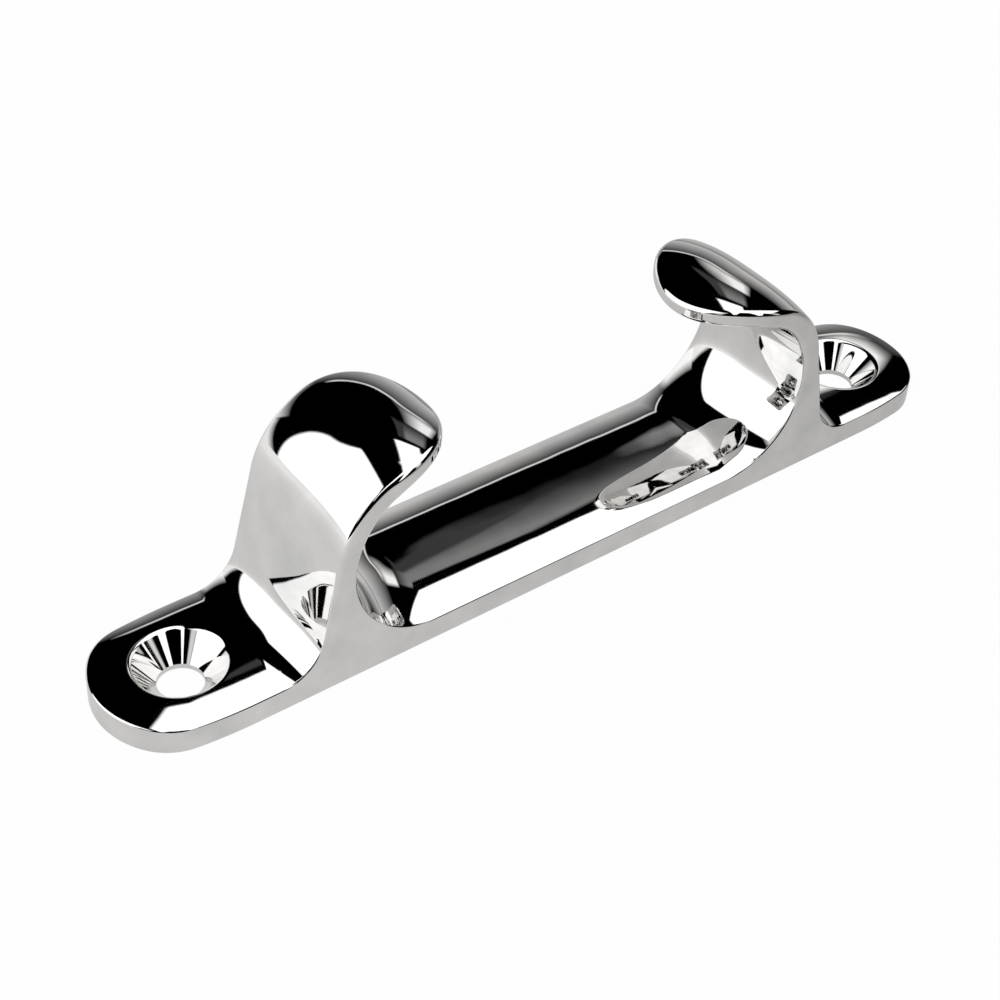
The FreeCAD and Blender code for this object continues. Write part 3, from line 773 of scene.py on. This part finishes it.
for row, (name, (aim, sizes)) in enumerate(SOFT_BOXES.items()):
    y = 800 - 350 * row
    box = node(tree, "ShaderNodeGroup", (-700, y), node_tree=soft_box, label=name)
    tree.links.new(direction, box.inputs["Direction"])
    for socket, axis in zip(("Facing", "Right axis", "Up axis"), box_axes(*aim)):
        box.inputs[socket].default_value = axis.tolist()
    for socket, value in zip(BOX_SIZES, sizes):
        box.inputs[socket].default_value = value
    own = box.outputs["Light"]
    light = own if light is None else math_node(tree, "MAXIMUM", (-400, y), light, own)
studio = node(tree, "ShaderNodeBackground", (0, 0))
tree.links.new(light, studio.inputs["Strength"])
backdrop = node(tree, "ShaderNodeBackground", (0, -150))
for background in (studio, backdrop):
    background.inputs["Color"].default_value = (1, 1, 1, 1)
seen_directly = node(tree, "ShaderNodeLightPath", (0, 300)).outputs["Is Camera Ray"]
chosen = node(tree, "ShaderNodeMixShader", (200, 0))
tree.links.new(seen_directly, chosen.inputs[0])
tree.links.new(studio.outputs[0], chosen.inputs[1])
tree.links.new(backdrop.outputs[0], chosen.inputs[2])
tree.links.new(chosen.outputs[0], node(tree, "ShaderNodeOutputWorld", (400, 0)).inputs[0])
print(len(SOFT_BOXES), "soft boxes")

# %% [markdown]
# The part lies on white paper. Seen directly, the paper is nearly pure white, with only a trace of
# its shading left, so that the part keeps its faint shadow. In the metal the paper shows as a light
# grey glow with painted light on it: the glow's strength is painted to rise towards the key box at
# the back left, rather than coming from that box.

# %% Paper on the table
FLOOR_HALF, FLOOR_DROP = 3.0, 0.0001
PAPER_WHITE = 0.975
# Strength of the paper's glow in the metal, and the painted light that rises towards the key box, with
# its limits
PAPER_IN_METAL, PAINTED_KEY_LIGHT_RISE = 0.62, 1.2
DARKEST, BRIGHTEST = 0.3, 1.0
MATT_WHITE, WARM_WHITE = (0.8, 0.8, 0.8, 1), (1.0, 0.99, 0.98, 1)
corners_xy = np.array([[-1, -1], [1, -1], [1, 1], [-1, 1]]) * FLOOR_HALF
floor_mesh = bpy.data.meshes.new("paper")
floor_mesh.from_pydata([(x, y, -FLOOR_DROP) for x, y in corners_xy.tolist()], [], [(0, 1, 2, 3)])
floor = bpy.data.objects.new("paper", floor_mesh)
bpy.context.collection.objects.link(floor)
floor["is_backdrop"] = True
floor_paint = bpy.data.materials.new("white paper")
floor_paint.use_nodes = True
tree = floor_paint.node_tree
tree.nodes.clear()
floor_mesh.materials.append(floor_paint)
matt = node(tree, "ShaderNodeBsdfDiffuse", (0, 0))
matt.inputs["Color"].default_value = MATT_WHITE
white = node(tree, "ShaderNodeEmission", (0, -150))
in_metal = node(tree, "ShaderNodeEmission", (0, -300))
in_metal.inputs["Color"].default_value = WARM_WHITE
# Painted light: the paper's glow seen in the metal has its strength painted as a clamped gradient that
# rises towards the key box, instead of being lit by the box.
on_paper = node(tree, "ShaderNodeTexCoord", (-900, -300)).outputs["Object"]
to_key = node(tree, "ShaderNodeVectorMath", (-700, -300), operation="DOT_PRODUCT")
tree.links.new(on_paper, to_key.inputs[0])
key_turn = math.radians(SOFT_BOXES["key box, back left"][0][0])
to_key.inputs[1].default_value = (math.sin(key_turn), math.cos(key_turn), 0)
painted_key_light = math_node(tree, "MULTIPLY", (-550, -300), to_key.outputs["Value"], PAINTED_KEY_LIGHT_RISE)
painted_key_light = math_node(tree, "ADD", (-400, -300), painted_key_light, PAPER_IN_METAL)
painted_key_light = math_node(tree, "MAXIMUM", (-300, -300), painted_key_light, DARKEST)
painted_key_light = math_node(tree, "MINIMUM", (-150, -300), painted_key_light, BRIGHTEST)
tree.links.new(painted_key_light, in_metal.inputs["Strength"])
path = node(tree, "ShaderNodeLightPath", (-200, 300))
seen = node(tree, "ShaderNodeMixShader", (200, 0))
share_seen = math_node(tree, "MULTIPLY", (0, 200), path.outputs["Is Camera Ray"], PAPER_WHITE)
tree.links.new(share_seen, seen.inputs[0])
tree.links.new(matt.outputs[0], seen.inputs[1])
tree.links.new(white.outputs[0], seen.inputs[2])
mirrored = node(tree, "ShaderNodeMixShader", (400, 0))
tree.links.new(path.outputs["Is Glossy Ray"], mirrored.inputs[0])
tree.links.new(seen.outputs[0], mirrored.inputs[1])
tree.links.new(in_metal.outputs[0], mirrored.inputs[2])
tree.links.new(mirrored.outputs[0], node(tree, "ShaderNodeOutputMaterial", (600, 0)).inputs[0])
print("paper", 2 * FLOOR_HALF, "m wide")

# %% [markdown]
# The picture is shown with Blender's plain Standard view, because the white of the paper and the
# black of the dark studio should come out as they are.

bpy.context.scene.view_settings.view_transform = "Standard"
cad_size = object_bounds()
lowest, highest = [[round(part / MM, 2) for part in corner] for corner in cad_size]
print("drawn from", lowest, "to", highest, "mm")
